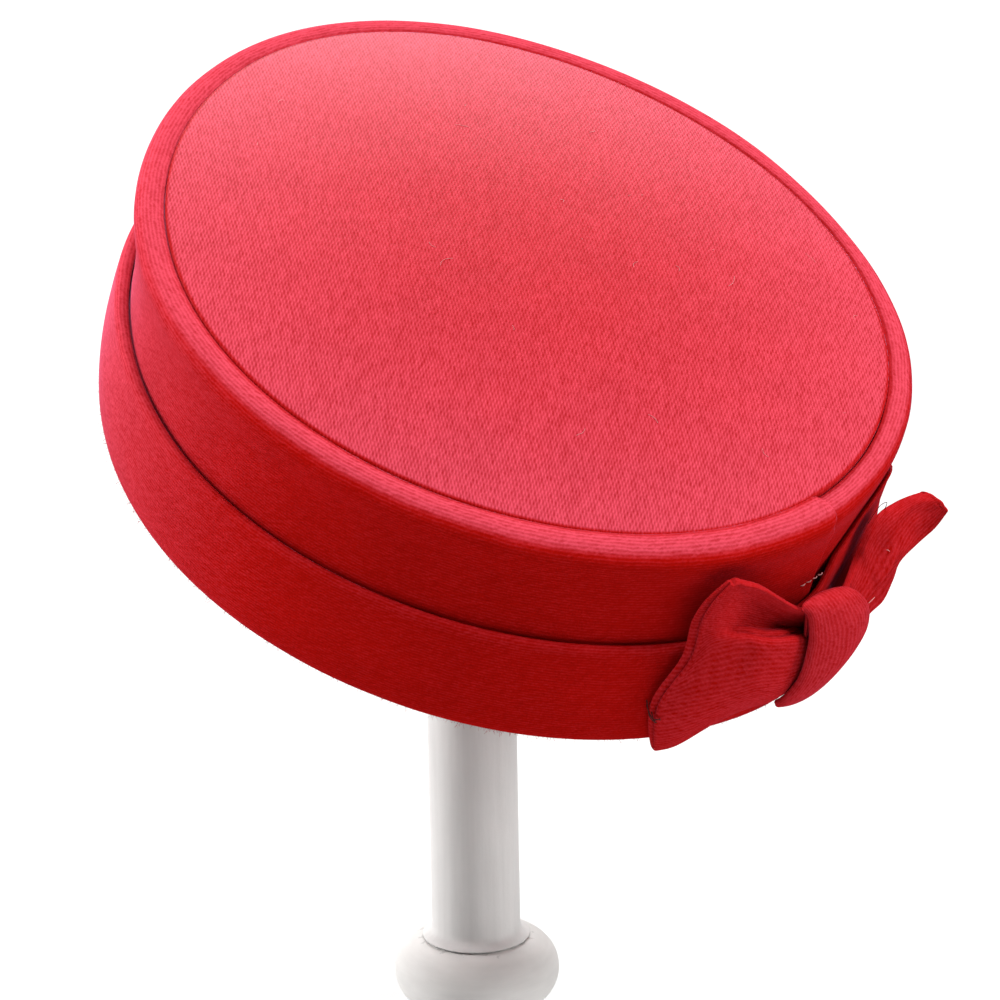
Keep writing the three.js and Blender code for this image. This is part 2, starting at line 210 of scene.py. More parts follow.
# Bow
WING_COLUMNS = 96
WING_ROWS = 128
WING_LIP_START = 0.86
# Painted sheen on the wings, paler than the bands where they catch more light
WING_PAINTED_SHEEN = 0.14
BOW_CONTRAST = 0.32
BOW_ROWS_SHOWN = 0.2
BOW_GLOSS = 0.0
BOW_FUZZ = 0.06
# Rows run from inside the knot to the wing's end, each from its low edge to its high one
LEFT_WING = [
    # arc from the middle of the back, up, out
    [(-7, 10, 13), (-7, 14, 13.5), (-7, 22, 13.5), (-7, 25, 12.5), (-7, 28.5, 12.5), (-7, 32, 12.5)],
    [(-16.5, 6.5, 12.5), (-14.5, 14, 13.5), (-13.5, 27, 13.5),
     (-11, 26, 10), (-12.5, 31, 10), (-15.5, 37, 12.5)],
    [(-23.5, 6.5, 12), (-25, 19, 15), (-26, 35, 16),
     (-21.5, 30, 9.5), (-22.5, 37, 9), (-29, 50.5, 13.5)],
    [(-31, 4.5, 12), (-31.5, 18, 14.5), (-32, 37, 15),
     (-28.5, 34.5, 10), (-30, 42.5, 10), (-34.5, 54, 13.5)],
    [(-39, -1, 12), (-40, 17, 14), (-38.5, 35.5, 14),
     (-37.5, 41, 13), (-36.5, 46.5, 12.5), (-36, 54.5, 13)],
    [(-43.5, -2, 12), (-46, 15, 13), (-41.5, 30, 13), (-41.5, 41.5, 13), (-40, 48.5, 13), (-37, 54, 13)],
]
LEFT_WING_THICK = (2.4, 2.2)
LEFT_WING_FLAP = 1.7
RIGHT_WING = [
    [(-1, 12, 13.5), (-1, 16, 14), (-1, 22, 14), (-1, 25, 12.5), (-1, 28.5, 12.5), (-1, 32, 12.5)],
    [(13.5, 15, 14), (10, 22.5, 12.5), (9, 26, 14), (8, 29.5, 12.5), (7.5, 32.5, 11), (7, 35.5, 9.5)],
    [(21, 15, 15), (13, 26, 12.5), (12, 30, 15), (11, 33.5, 12), (10, 37, 10.5), (9, 40, 9.5)],
    [(21.5, 22, 15.5), (15.5, 30, 14), (14.5, 33.5, 15.5),
     (13.5, 37, 12), (12, 40.5, 10.5), (11, 44, 9.5)],
    [(19, 31, 16), (17.5, 34.5, 16), (17, 37.5, 15), (16, 40.5, 13), (15, 44, 11.5), (14.5, 47, 10)],
    [(22, 35.5, 18.5), (21.5, 38, 17), (20.5, 41, 15.5),
     (20, 43.5, 14), (19.5, 45.5, 13), (19.5, 47, 11.5)],
    [(24, 40, 21), (23.5, 42, 19), (23.5, 43.5, 17.5),
     (23, 45.5, 16), (22.5, 47, 15), (22.5, 47.5, 13.5)],
    [(24.5, 45.5, 22.5), (24.5, 46.5, 21), (25, 47, 20),
     (25, 47.5, 18.5), (25.5, 47.5, 17), (25, 47.5, 15.5)],
]
RIGHT_WING_THICK = (2.6, 1.6)
RIGHT_WING_FLAP = 0.0
KNOT_COLUMNS = 120
KNOT_ROWS = 56
KNOT_CROWN = 1.6
# Painted sheen on the knot, which catches more light than the wings
KNOT_PAINTED_SHEEN = 0.26
KNOT_PATH = [
    # up, out, left edge, right edge, thickness, how much higher the left edge lies
    (8, 11.1, -11, 2, 1.2, 0),
    (21, 11.1, -11.5, 2, 1.2, 0),
    (33, 11, -14, 0, 1.2, 2),
    (35.8, 11.4, -16, 0, 1.6, 3.5),
    (36.6, 13, -16, 0, 2, 3),
    (35, 15, -14.5, 1.5, 2, 1.5),
    (29.5, 16.6, -13.4, 5, 2, 0),
    (23, 17, -13, 7.5, 2, 0),
    (17, 16.8, -12.6, 8.2, 2, 0),
    (11.5, 16, -12.8, 6, 2, 0),
    (6, 14.4, -13.8, 3.5, 2, 0),
    (3, 12.6, -14.5, 1.5, 2, 0),
    (4, 11.4, -12.5, 1.5, 1.4, 0),
]

# Loose threads, each a few points along it
TACK_STITCHES = 4
TACK_STITCH = [(-9.9, 36.3, 5.6), (-9.2, 36.5, 6.4), (-8.2, 36.1, 5.6)]
TACK_STITCH_STEP = 2.1
DARK_TACKS = [
    [(-48.2, 14, 9.4), (-48.4, 12.6, 12.8), (-47.2, 11, 13.6), (-46.4, 10.4, 12.8)],
    [(-47.4, 13.2, 9.4), (-47.2, 11.4, 13), (-46.4, 9.8, 13.2), (-45.8, 9.4, 12.4)],
    [(-48, 12.4, 9.4), (-47.6, 11.2, 13.2), (-46.2, 12, 13.8), (-45.4, 10.8, 13)],
]
LOOSE_LOOP = [[(8.5, 47.5, 8.5), (9, 53.3, 9.5), (11.6, 53, 9.8), (15.8, 49.5, 9.5), (16, 46, 9)]]
PALE_ENDS = [
    [(8.3, 28.2, 15.6), (7.2, 28.1, 15.6), (6.4, 27.6, 15.4)],
    [(13.5, 38, 13.2), (15, 37, 13.4), (14.5, 35.5, 14.2), (16, 35, 14.8)],
]
TACK_RADIUS = 0.00014
LOOSE_RADIUS = 0.00008
LINT_COUNT = 28
LINT_LENGTH = (0.0005, 0.0045)
LINT_TURN = 0.7
LINT_POINTS = 5
LINT_AREA = (0.02, 0.85)
LINT_SHORTNESS = 3
LINT_RADIUS = 0.00004
LINT_SEED = 7
FUZZ_COUNT = 2000
FUZZ_LENGTH = (0.0005, 0.0016)
FUZZ_ROOT = 0.0003
FUZZ_RADIUS = 0.000022
FUZZ_SWAY = 0.4
FUZZ_BEND = 0.5
FUZZ_SHORTNESS = 2
FUZZ_SEED = 11
RIM_EDGE = (8.7, 0.6)
# Steps along a bend, and round a quarter of the thread
THREAD_STEPS = (12, 2)
FUZZ_STEPS = (2, 0)

# Stand, turned about the post
STAND_STEPS = 128
SHARP_TURN = math.radians(35.0)
COLLAR_TUBE = 9.0
COLLAR_BEND_STEPS = 28
COLLAR_RADIUS = 20.9
HEAD_BEND_STEPS = 20
POST_FOOT = [
    # radius, above the foot
    (0, 0),
    (13.5, 0),
    (13.6, 0.25),
    (13.3, 0.6),
    (12.4, 1.1),
    (11.7, 1.7),
    (11.3, 2.4),
    (11.2, 3.4),
    (11.2, 14),
]
PAINT_STREAK = 0.2
PAINT_STREAK_SCALE = 420.0
PAINT_STAIN_SCALE = 45.0
PAINT_SPECK_SCALE = 900.0
PAINT_BUMP = 0.15
PAINT_DEPTH = 0.0003
POST_WEAR = 0.14
POST_GRAIN = (1.0, 1.0, 0.06)
COLLAR_WEAR = 0.2
COLLAR_GRAIN = (0.15, 0.15, 1.0)
CHIP_SCALE = 500.0
CHIP_LEVEL = 0.93
CHIP_REACH = 0.0016
CHIP_DARKNESS = 0.2
BASE_PROFILE = [
    # radius, above the floor
    (0, 0),
    (70.5, 0),
    (71.5, 0.4),
    (72, 1.5),
    (72, 8),
    (71.4, 9.8),
    (69, 12),
    (44, 13.4),
    (29, 15),
    (22, 18),
    (18, 22),
    (15, 28),
    (13.4, 34),
    (13, 40),
    (13, 85.7),
    (0, 85.7),
]

# Studio
FLOOR_RADIUS = 6.0
FLOOR_SEGMENTS = 64
WORLD_STRENGTH = 0.03
LIGHTS = [
    # name, place, aim, width, power
    ("top_light", (0.1, -0.6, 1.2), (0.0, 0.0, 0.3), 0.5, 13.5),
    ("left_light", (-1.0, 0.2, 0.6), (0.0, 0.0, 0.3), 0.6, 16.0),
    ("right_light", (0.95, -0.3, 0.6), (0.0, 0.0, 0.3), 0.5, 8.0),
    ("front_light", (-1.1, -1.0, 0.6), (0.0, 0.0, 0.2), 0.8, 0.9),
    ("floor_light", (0.0, 1.7, 1.7), (0.0, 1.2, 0.0), 1.8, 70.0),
]

# Camera, at the height and distance the hat is seen from
CAMERA_PLACE = (0.00803, -1.057, 0.5525)
CAMERA_PITCH = math.radians(17.497)
CAMERA_ROLL = math.radians(-1.069)
CAMERA_LENS = 162.0
CAMERA_SENSOR = 36.0


class PillboxHatSettings(bpy.types.PropertyGroup):
    """Sizes and colours of the hat and its stand"""

    half_length: bpy.props.FloatProperty(
        name="Half Length", description="Half the crown's length on its seam", default=0.0926, unit="LENGTH"
    )
    half_width: bpy.props.FloatProperty(
        name="Half Width", description="Half the crown's width on its seam", default=0.0774, unit="LENGTH"
    )
    seam_height: bpy.props.FloatProperty(
        name="Seam Height",
        description="Height of the tip's seam above the rim",
        default=0.0588,
        unit="LENGTH",
    )
    tip_rise: bpy.props.FloatProperty(
        name="Tip Rise", description="How far the tip domes above its seam", default=0.011, unit="LENGTH"
    )
    cuff_height: bpy.props.FloatProperty(
        name="Cuff Height", description="Height of the lower band", default=0.0296, unit="LENGTH"
    )
    wale_pitch: bpy.props.FloatProperty(
        name="Wale Pitch", description="Spacing of the knit's ribs", default=0.00089, unit="LENGTH"
    )
    course_pitch: bpy.props.FloatProperty(
        name="Course Pitch", description="Spacing of the knit's rows", default=0.00125, unit="LENGTH"
    )
    jersey_red: bpy.props.FloatVectorProperty(
        name="Jersey",
        description="Colour of the jersey",
        default=(0.345, 0.0036, 0.0022),
        size=3,
        subtype="COLOR",
    )
    # Painted sheen: the paler, pinker red that the jersey is mixed towards, to paint the sheen of its lit
    # faces and of its loops' tops
    painted_sheen_red: bpy.props.FloatVectorProperty(
        name="Brushed",
        description="Paler jersey where the nap is up",
        default=(0.5, 0.046, 0.072),
        size=3,
        subtype="COLOR",
    )
    paint_white: bpy.props.FloatVectorProperty(
        name="Paint",
        description="Paint of the stand",
        default=(0.56, 0.545, 0.535),
        size=3,
        subtype="COLOR",
    )
    collar_grey: bpy.props.FloatVectorProperty(
        name="Collar",
        description="Worn paint of the collar",
        default=(0.56, 0.545, 0.53),
        size=3,
        subtype="COLOR",
    )
    thread_pale: bpy.props.FloatVectorProperty(
        name="Pale Thread",
        description="Colour of the loose ends and lint",
        default=(0.5, 0.22, 0.22),
        size=3,
        subtype="COLOR",
    )
    thread_dark: bpy.props.FloatVectorProperty(
        name="Dark Thread",
        description="Colour of the tacks",
        default=(0.05, 0.006, 0.006),
        size=3,
        subtype="COLOR",
    )
    floor_white: bpy.props.FloatVectorProperty(
        name="Floor",
        description="Colour of the floor",
        default=(0.56, 0.56, 0.56),
        size=3,
        subtype="COLOR",
    )


# Curves and outlines


def spline(points, place, closed=False):
    """Values on the smooth curve through a short table; place 2.5 is half way from row 2 to row 3."""
    last = len(points) - 1
    step = int(place) if closed else min(int(place), last - 1)
    share = place - step
    rows = []
    for k in (-1, 0, 1, 2):
        index = (step + k) % len(points) if closed else min(max(step + k, 0), last)
        rows.append(points[index])
    values = []
    for a, b, c, d in zip(*rows):
        square = (2 * a - 5 * b + 4 * c - d) * share**2
        cube = (3 * b - a - 3 * c + d) * share**3
        values.append(0.5 * (2 * b + (c - a) * share + square + cube))
    return values


def even_loop(points, count):
    """Evenly spaced rows round the smooth closed curve through a table."""
    fine = 24
    dense = [spline(points, i / fine, closed=True) for i in range(len(points) * fine)]
    dense.append(dense[0])
    lengths = [0.0]
    for here, after in zip(dense, dense[1:]):
        lengths.append(lengths[-1] + math.hypot(after[0] - here[0], after[1] - here[1]))
    rows = []
    for i in range(count + 1):
        target = lengths[-1] * i / count
        k = min(bisect.bisect_right(lengths, target), len(dense) - 1)
        share = (target - lengths[k - 1]) / (lengths[k] - lengths[k - 1])
        rows.append([a + (b - a) * share for a, b in zip(dense[k - 1], dense[k])])
    return rows


def hump(distance, spread):
    """1 at the middle, easing to 0 at the given distance and beyond."""
    return 0.5 + 0.5 * math.cos(math.pi * min(abs(distance) / spread, 1.0))


def swell_at(angle, swell):
    """How much of a swell in the cloth shows at an angle round the hat."""
    return swell["depth"] * hump(math.remainder(angle - swell["angle"], 2 * math.pi), swell["spread"])


def path_length(points):
    """Length of a line through points."""
    return sum((after - here).length for here, after in zip(points, points[1:]))


def round_edge(distance, radius):
    """Share of the full thickness at a distance in from a rounded edge."""
    if distance >= radius:
        return 1.0
    return math.sqrt(max(0.0, 1.0 - (1.0 - distance / radius) ** 2))


def clamped(value):
    """A value kept between 0 and 1."""
    return min(max(value, 0.0), 1.0)


def lerp(low, high, share):
    """A value part of the way from low to high."""
    return low + (high - low) * share


class Crown:
    """The crown's oval, measured on the seam between tip and side band."""

    def __init__(self, hat):
        self.hat = hat
        self.length = hat.half_length
        self.width = hat.half_width

    def rim(self, angle):
        """A point of the oval."""
        wobble = 1 + OUT_OF_ROUND_THREE * math.sin(3 * angle) + OUT_OF_ROUND_FOUR * math.sin(4 * angle)
        return Vector((self.length * math.cos(angle), self.width * math.sin(angle))) * wobble

    def point(self, angle, out, up):
        """A point of the oval moved straight out, at a height above the rim."""
        along = (self.rim(angle + TANGENT_STEP) - self.rim(angle - TANGENT_STEP)).normalized()
        base = self.rim(angle)
        return Vector((base.x + along.y * out, base.y - along.x * out, up))

    def back_angle(self, arc):
        """Angle for a distance along the cuff's face from the middle of the back."""
        return arc / (self.width + CUFF_OUT * self.length / self.width)

    def tip_height(self, share):
        """Height of the tip's face at a share of the way from its middle to the seam."""
        return self.hat.seam_height + self.hat.tip_rise * (1 - share**TIP_ROUNDNESS)

    def place(self):
        """The hat bears on the stand's head off its centre, and leans."""
        share = math.hypot(SEAT_X / self.length, SEAT_Y / self.width)
        lift = HEAD_RADIUS + SEAT_GAP - (self.tip_height(share) - TIP_WALL)
        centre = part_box("stand_head")[1].z - HEAD_RADIUS
        return (
            Matrix.Translation((0, 0, centre))
            @ Matrix.Rotation(LEAN_HEADING, 4, "Z")
            @ Matrix.Rotation(LEAN, 4, "Y")
            @ Matrix.Rotation(BOW_HEADING, 4, "Z")
            @ Matrix.Translation((-SEAT_X, -SEAT_Y, lift))
        )


# Meshes


def shaped_cloth(columns, rows, place):
    """A grid of cloth moved point by point to its place on the hat, and its flat size when doubled."""
    spots = [[place(i / columns, j / rows) for j in range(rows + 1)] for i in range(columns + 1)]
    length = path_length([line[rows // 4][0] for line in spots])
    girth = path_length([spot for spot, _ in spots[columns // 2]])
    work = bmesh.new()
    bmesh.ops.create_grid(work, x_segments=columns, y_segments=rows, size=0.5)
    flat = work.loops.layers.uv.new("cloth")
    # Each point also carries a share of painted sheen, kept as an attribute for the jersey
    painted_sheen = work.verts.layers.float.new("painted_sheen")
    for face in work.faces:
        for loop in face.loops:
            loop[flat].uv = ((loop.vert.co.x + 0.5) * length, (loop.vert.co.y + 0.5) * girth)
    for vert in work.verts:
        line = round((vert.co.x + 0.5) * columns)
        step = round((vert.co.y + 0.5) * rows)
        vert.co, vert[painted_sheen] = spots[line][step]
    bmesh.ops.remove_doubles(work, verts=work.verts, dist=WELD)
    open_edges = [edge for edge in work.edges if edge.is_boundary]
    if open_edges:
        bmesh.ops.holes_fill(work, edges=open_edges, sides=0)
    bmesh.ops.recalc_face_normals(work, faces=work.faces)
    return work, (length, girth / 2)


def turned(profile, steps):
    """A solid of revolution about Z from a profile of (radius, height) that starts and ends on the axis."""
    work = bmesh.new()
    verts = [work.verts.new((radius, 0, height)) for radius, height in profile]
    edges = [work.edges.new(pair) for pair in zip(verts, verts[1:])]
    bmesh.ops.spin(
        work,
        geom=verts + edges,
        cent=(0, 0, 0),
        axis=(0, 0, 1),
        angle=2 * math.pi,
        steps=steps,
        use_merge=True,
    )
    bmesh.ops.remove_doubles(work, verts=work.verts, dist=WELD)
    bmesh.ops.recalc_face_normals(work, faces=work.faces)
    return work


def new_piece(name, work, material, slot, *nodes):
    """Turns a bmesh into a shaded piece that rides with the stand and stands for its solids."""
    mesh = bpy.data.meshes.new(name)
    work.to_mesh(mesh)
    work.free()
    mesh.materials.append(material)
    mesh.shade_smooth()
    piece = bpy.data.objects.new(name, mesh)
    bpy.context.scene.collection.objects.link(piece)
    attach(piece, "root")
    if nodes:
        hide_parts(*nodes)
    return piece


def uneven(point, scale, amount):
    """A smooth small swell, different from place to place."""
    return amount * noise.noise(point * scale)


# Materials


def make_material(name):
    """A new node material, with its tree and its shader."""
    material = bpy.data.materials.new(name)
    material.use_nodes = True
    tree = material.node_tree
    return material, tree, tree.nodes["Principled BSDF"]


def math_node(tree, operation, first, second=0.0, third=None):
    """A Math node's value, from sockets or plain numbers."""
    node = tree.nodes.new("ShaderNodeMath")
    node.operation = operation
    for socket, value in zip(node.inputs, (first, second, third)):
        if value is None:
            continue
        if isinstance(value, bpy.types.NodeSocket):
            tree.links.new(value, socket)
        else:
            socket.default_value = value
    return node.outputs[0]


def noise_node(tree, vector, scale, detail, roughness=0.5):
    """A Noise Texture's value."""
    node = tree.nodes.new("ShaderNodeTexNoise")
    node.inputs["Scale"].default_value = scale
    node.inputs["Detail"].default_value = detail
    node.inputs["Roughness"].default_value = roughness
    tree.links.new(vector, node.inputs["Vector"])
    return node.outputs["Fac"]


def mixed_colour(tree, first, second, factor):
    """A colour between two, by a socket's value."""
    node = tree.nodes.new("ShaderNodeMix")
    node.data_type = "VECTOR"
    node.inputs["A"].default_value = first
    node.inputs["B"].default_value = second
    tree.links.new(factor, node.inputs["Factor"])
    return node.outputs["Result"]


def scaled_colour(tree, colour, factor):
    """A colour made lighter or darker by a socket's value."""
    node = tree.nodes.new("ShaderNodeVectorMath")
    node.operation = "SCALE"
    if isinstance(colour, bpy.types.NodeSocket):
        tree.links.new(colour, node.inputs[0])
    else:
        node.inputs[0].default_value = colour
    tree.links.new(factor, node.inputs["Scale"])
    return node.outputs[0]


def bump_node(tree, height, strength, distance):
    """A Bump node's normal."""
    node = tree.nodes.new("ShaderNodeBump")
    node.inputs["Strength"].default_value = strength
    node.inputs["Distance"].default_value = distance
    tree.links.new(height, node.inputs["Height"])
    return node.outputs["Normal"]


def jersey(name, hat, contrast, rows, gloss, fuzz):
    """Cotton jersey: ribs along the cloth, slanting rows of uneven loops across them, and a soft fuzz."""
    material, tree, shader = make_material(name)
    cloth = tree.nodes.new("ShaderNodeUVMap")
    cloth.uv_map = "cloth"
    split = tree.nodes.new("ShaderNodeSeparateXYZ")
    tree.links.new(cloth.outputs["UV"], split.inputs[0])
    place = tree.nodes.new("ShaderNodeTexCoord").outputs["Object"]
    drift = math_node(tree, "MULTIPLY", noise_node(tree, place, KNIT_DRIFT_SCALE, 2.0), KNIT_DRIFT)
    wale = math_node(tree, "ADD", math_node(tree, "DIVIDE", split.outputs["Y"], hat.wale_pitch), drift)
    row = math_node(tree, "DIVIDE", split.outputs["X"], hat.course_pitch)
    course = math_node(tree, "SUBTRACT", row, wale)
    rib = math_node(tree, "COSINE", math_node(tree, "MULTIPLY", wale, 2 * math.pi))
    loop = math_node(tree, "COSINE", math_node(tree, "MULTIPLY", course, 2 * math.pi))
    stitch = math_node(tree, "SUBTRACT", stitch_node(tree, wale, course), 0.5)
    fibre = math_node(tree, "SUBTRACT", noise_node(tree, place, KNIT_FIBRE_SCALE, 3.0), 0.5)
    knit = math_node(tree, "MULTIPLY", rib, KNIT_RIB)
    knit = math_node(tree, "MULTIPLY_ADD", loop, KNIT_LOOP * rows, knit)
    knit = math_node(tree, "MULTIPLY_ADD", stitch, KNIT_STITCH, knit)
    height = math_node(tree, "MULTIPLY_ADD", fibre, KNIT_FIBRE - KNIT_FIBRE_UNDER_ROWS * rows, knit)
    mottle = math_node(tree, "SUBTRACT", noise_node(tree, place, JERSEY_MOTTLE_SCALE, 3.0), 0.5)
    shade = math_node(tree, "MULTIPLY_ADD", mottle, JERSEY_MOTTLE, 1.0)
    # Painted shade: the knit's relief darkens its hollows in the colour itself, along with each stitch's
    # random tone
    shade = math_node(tree, "MULTIPLY_ADD", height, KNIT_SHADE * contrast, shade)
    # Painted sheen: the colour is mixed towards the paler red by the painted sheen each point carries, and
    # by the knit's relief on top of it
    painted_sheen = tree.nodes.new("ShaderNodeAttribute")
    painted_sheen.attribute_name = "painted_sheen"
    lift = math_node(tree, "MULTIPLY_ADD", painted_sheen.outputs["Fac"], contrast, KNIT_LIFT * contrast)
    painted_sheen_mix = math_node(tree, "MULTIPLY_ADD", height, lift, painted_sheen.outputs["Fac"])
    colour = mixed_colour(tree, hat.jersey_red, hat.painted_sheen_red, painted_sheen_mix)
    tree.links.new(scaled_colour(tree, colour, shade), shader.inputs["Base Color"])
    bump = bump_node(tree, height, KNIT_BUMP * contrast, KNIT_DEPTH)
    tree.links.new(bump, shader.inputs["Normal"])
    shader.inputs["Roughness"].default_value = JERSEY_ROUGHNESS
    shader.inputs["Specular IOR Level"].default_value = gloss
    shader.inputs["Specular Tint"].default_value = JERSEY_GLOSS_TINT
    shader.inputs["Sheen Weight"].default_value = fuzz
    shader.inputs["Sheen Roughness"].default_value = JERSEY_FUZZ_ROUGHNESS
    shader.inputs["Sheen Tint"].default_value = JERSEY_FUZZ_TINT
    return material


def stitch_node(tree, wale, course):
    """A value that differs from stitch to stitch."""
    cell = tree.nodes.new("ShaderNodeCombineXYZ")
    tree.links.new(math_node(tree, "FLOOR", wale), cell.inputs["X"])
    tree.links.new(math_node(tree, "FLOOR", course), cell.inputs["Y"])
    node = tree.nodes.new("ShaderNodeTexWhiteNoise")
    node.noise_dimensions = "2D"
    tree.links.new(cell.outputs[0], node.inputs["Vector"])
    return node.outputs["Value"]


def painted_wood(name, colour, wear, grain_scale, chipped):
    """Brushed paint over turned wood: streaks, dull stains, and chips at a joint's height."""
    material, tree, shader = make_material(name)
    place = tree.nodes.new("ShaderNodeTexCoord").outputs["Object"]
    grain = tree.nodes.new("ShaderNodeMapping")
    grain.inputs["Scale"].default_value = grain_scale
    tree.links.new(place, grain.inputs["Vector"])
    brush = noise_node(tree, grain.outputs[0], PAINT_STREAK_SCALE, 4.0, 0.6)
    streak = math_node(tree, "SUBTRACT", brush, 0.5)
    stain = math_node(tree, "SUBTRACT", noise_node(tree, place, PAINT_STAIN_SCALE, 4.0, 0.6), 0.5)
    shade = math_node(tree, "MULTIPLY_ADD", stain, wear, 1.0)
    shade = math_node(tree, "MULTIPLY_ADD", streak, PAINT_STREAK, shade)
    split = tree.nodes.new("ShaderNodeSeparateXYZ")
    tree.links.new(place, split.inputs[0])
    away = math_node(tree, "ABSOLUTE", math_node(tree, "SUBTRACT", split.outputs["Z"], chipped))
    reach = math_node(tree, "SUBTRACT", 1.0, math_node(tree, "DIVIDE", away, CHIP_REACH))
    chip = math_node(tree, "MULTIPLY_ADD", reach, 0.4, noise_node(tree, place, CHIP_SCALE, 2.0))
    bare = math_node(tree, "GREATER_THAN", chip, CHIP_LEVEL)
    worn = math_node(tree, "MULTIPLY_ADD", bare, -CHIP_DARKNESS, 1.0)
    shade = math_node(tree, "MULTIPLY", shade, worn)
    tree.links.new(scaled_colour(tree, colour, shade), shader.inputs["Base Color"])
    speck = noise_node(tree, place, PAINT_SPECK_SCALE, 2.0)
    relief = math_node(tree, "MULTIPLY_ADD", streak, 1.5, speck)
    tree.links.new(bump_node(tree, relief, PAINT_BUMP, PAINT_DEPTH), shader.inputs["Normal"])
    shader.inputs["Roughness"].default_value = 0.6
    shader.inputs["Specular IOR Level"].default_value = 0.2
    return material


def plain_thread(name, colour):
    """Twisted cotton thread."""
    material, tree, shader = make_material(name)
    place = tree.nodes.new("ShaderNodeTexCoord").outputs["Object"]
    shade = math_node(tree, "MULTIPLY_ADD", noise_node(tree, place, 2500.0, 2.0), 0.5, 0.75)
    tree.links.new(scaled_colour(tree, colour, shade), shader.inputs["Base Color"])
    shader.inputs["Roughness"].default_value = 0.8
    shader.inputs["Specular IOR Level"].default_value = 0.1
    return material


# Pieces


def make_tip(crown):
    """The domed oval of the tip, tucked down into its seam."""
    profile = [(i / TIP_RINGS, 1.0) for i in range(TIP_RINGS)]
    profile += [(TIP_SEAM_START, 1.0), (TIP_SEAM_TURN, 1.0), (1.0, 1.0), (1.0, 0.5), (1.0, 0.0)]
    profile += [(1.0 - i / TIP_RINGS, -1.0) for i in range(1, TIP_RINGS + 1)]
    work = turned(profile, TIP_STEPS)
    flat = work.loops.layers.uv.new("cloth")
    painted_sheen = work.verts.layers.float.new("painted_sheen")
    turn = Matrix.Rotation(-TIP_WALE_ANGLE, 2)
    inset = 1 - TIP_SEAM_GAP / crown.width
    for vert in work.verts:
        share = math.hypot(vert.co.x, vert.co.y)
        angle = math.atan2(vert.co.y, vert.co.x)
        level = vert.co.z
        rim = crown.rim(angle) * share * inset
        dip = TIP_SEAM_DIP * max(0.0, (share - TIP_SEAM_START) / (1 - TIP_SEAM_START)) ** 2
        up = crown.tip_height(share) - dip
        if level < 1.0:
            up -= TIP_TUCK * (1.0 - max(level, 0.0)) if share > TIP_EDGE else TIP_WALL
        swell = uneven(Vector((rim.x, rim.y, level)), 45.0, TIP_UNEVEN)
        vert.co = (rim.x, rim.y, up + swell)
        # The painted sheen fades out into the seam, which paints shade along it
        seam_shade = clamped((share - TIP_SEAM_START) / (TIP_SEAM_TURN - TIP_SEAM_START))
        vert[painted_sheen] = lerp(*TIP_PAINTED_SHEEN, share**2) * (1 - seam_shade)
    for face in work.faces:
        for loop in face.loops:
            loop[flat].uv = turn @ loop.vert.co.xy
    return work


def lap_at(angle):
    """How far the side band has eased towards its lap: -1 at the end underneath, 1 at the end on top."""
    under = hump(angle - BAND_UNDER_END, BAND_EASE)
    over = hump(BAND_OVER_END + 2 * math.pi - angle, BAND_EASE)
    return over - under


def band_face(up):
    """How far out the side band's face stands at a height."""
    rows = BAND_SECTION[:BAND_FACE_ROWS]
    for low, high in zip(rows, rows[1:]):
        if up <= high[1]:
            return lerp(low[0], high[0], max(0.0, (up - low[1]) / (high[1] - low[1])))
    return rows[-1][0]


def make_side_band(crown):
    """A strip folded over the crown's edge, wrapped once round and lapped at the back."""
    section = even_loop(BAND_SECTION, BAND_ROWS)
    sweep = BAND_OVER_END + 2 * math.pi - BAND_UNDER_END
    girth = sweep * (crown.length + crown.width) / 2
    nose = BAND_NOSE_REACH * BAND_NOSE / girth

    def place(along, across):
        if along < 1 - BAND_NOSE_COLUMNS:
            run = along * (1 - nose) / (1 - BAND_NOSE_COLUMNS)
        else:
            run = 1 - (1 - along) * nose / BAND_NOSE_COLUMNS
        out, up, move, face = section[round(across * BAND_ROWS)]
        # Painted sheen on the roll's top and on the left side, faded out near the seam as painted shade
        painted_sheen = BAND_PAINTED_SHEEN * clamped((up - BAND_SHEEN_LOW) / BAND_SHEEN_FADE)
        painted_sheen *= clamped(out - BAND_SEAM_SHADE)
        angle = BAND_UNDER_END + sweep * run
        painted_sheen = max(painted_sheen, swell_at(angle, BAND_LEFT_SHEEN))
        step = BAND_LAP_STEP * lap_at(angle)
        to_end = (1 - run) * girth
        pinch = face * BAND_END_ROUND * (1 - round_edge(to_end, BAND_END_ROUND))
        slant = BAND_END_SLANT * (up * MM - crown.hat.seam_height) * run**BAND_END_SHARPNESS
        drawn = move * swell_at(angle, BAND_DRAWN)
        lift = step if up * MM > crown.hat.cuff_height else 0.0
        closing = clamped((up - BAND_NOSE_LOW) / BAND_NOSE_BLEND) * (1 - round_edge(to_end, BAND_NOSE))
        out = lerp(out, BAND_NOSE_CENTRE[0], closing)
        up = lerp(up, BAND_NOSE_CENTRE[1], closing)
        here = crown.point(angle + slant, out * MM + step * move - pinch - drawn, up * MM + lift)
        here += Vector((here.x, here.y, 0)).normalized() * uneven(here, 60.0, BAND_UNEVEN) * move
        return here, painted_sheen

    return shaped_cloth(BAND_COLUMNS, BAND_ROWS, place)


